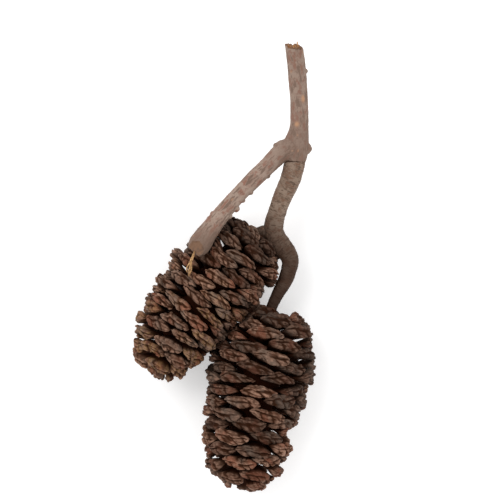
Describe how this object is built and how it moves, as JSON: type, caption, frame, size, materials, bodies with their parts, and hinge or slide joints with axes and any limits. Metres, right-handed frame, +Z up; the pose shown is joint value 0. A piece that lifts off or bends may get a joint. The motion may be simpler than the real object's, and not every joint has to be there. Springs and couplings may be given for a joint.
{
  "type": "alder cone",
  "caption": "Forked alder twig lying on its side with ripe woody seed cones, each a spindle covered in spirals of lobed scales.",
  "frame": {"origin": "under the middle of the sprig's outline, on the surface that it lies on", "axes": "+Y runs along the sprig towards the cut end of the twig, +Z up from the surface"},
  "size_m": [0.012, 0.0301, 0.0067],
  "materials": {
    "grey_bark": "matt grey-brown young bark with fine lengthwise wrinkles and pale pores",
    "brown_bark": "matt olive-brown stalk, darker towards the cones",
    "cone_wood": "dry dark brown wood, paler and greyer on the rims, nearly black between the scales"
  },
  "bodies": {
    "root": {"twig": "grey_bark", "fruit_stalk": "brown_bark", "cone_side": "cone_wood", "cone_end": "cone_wood"}
  },
  "joints": []
}
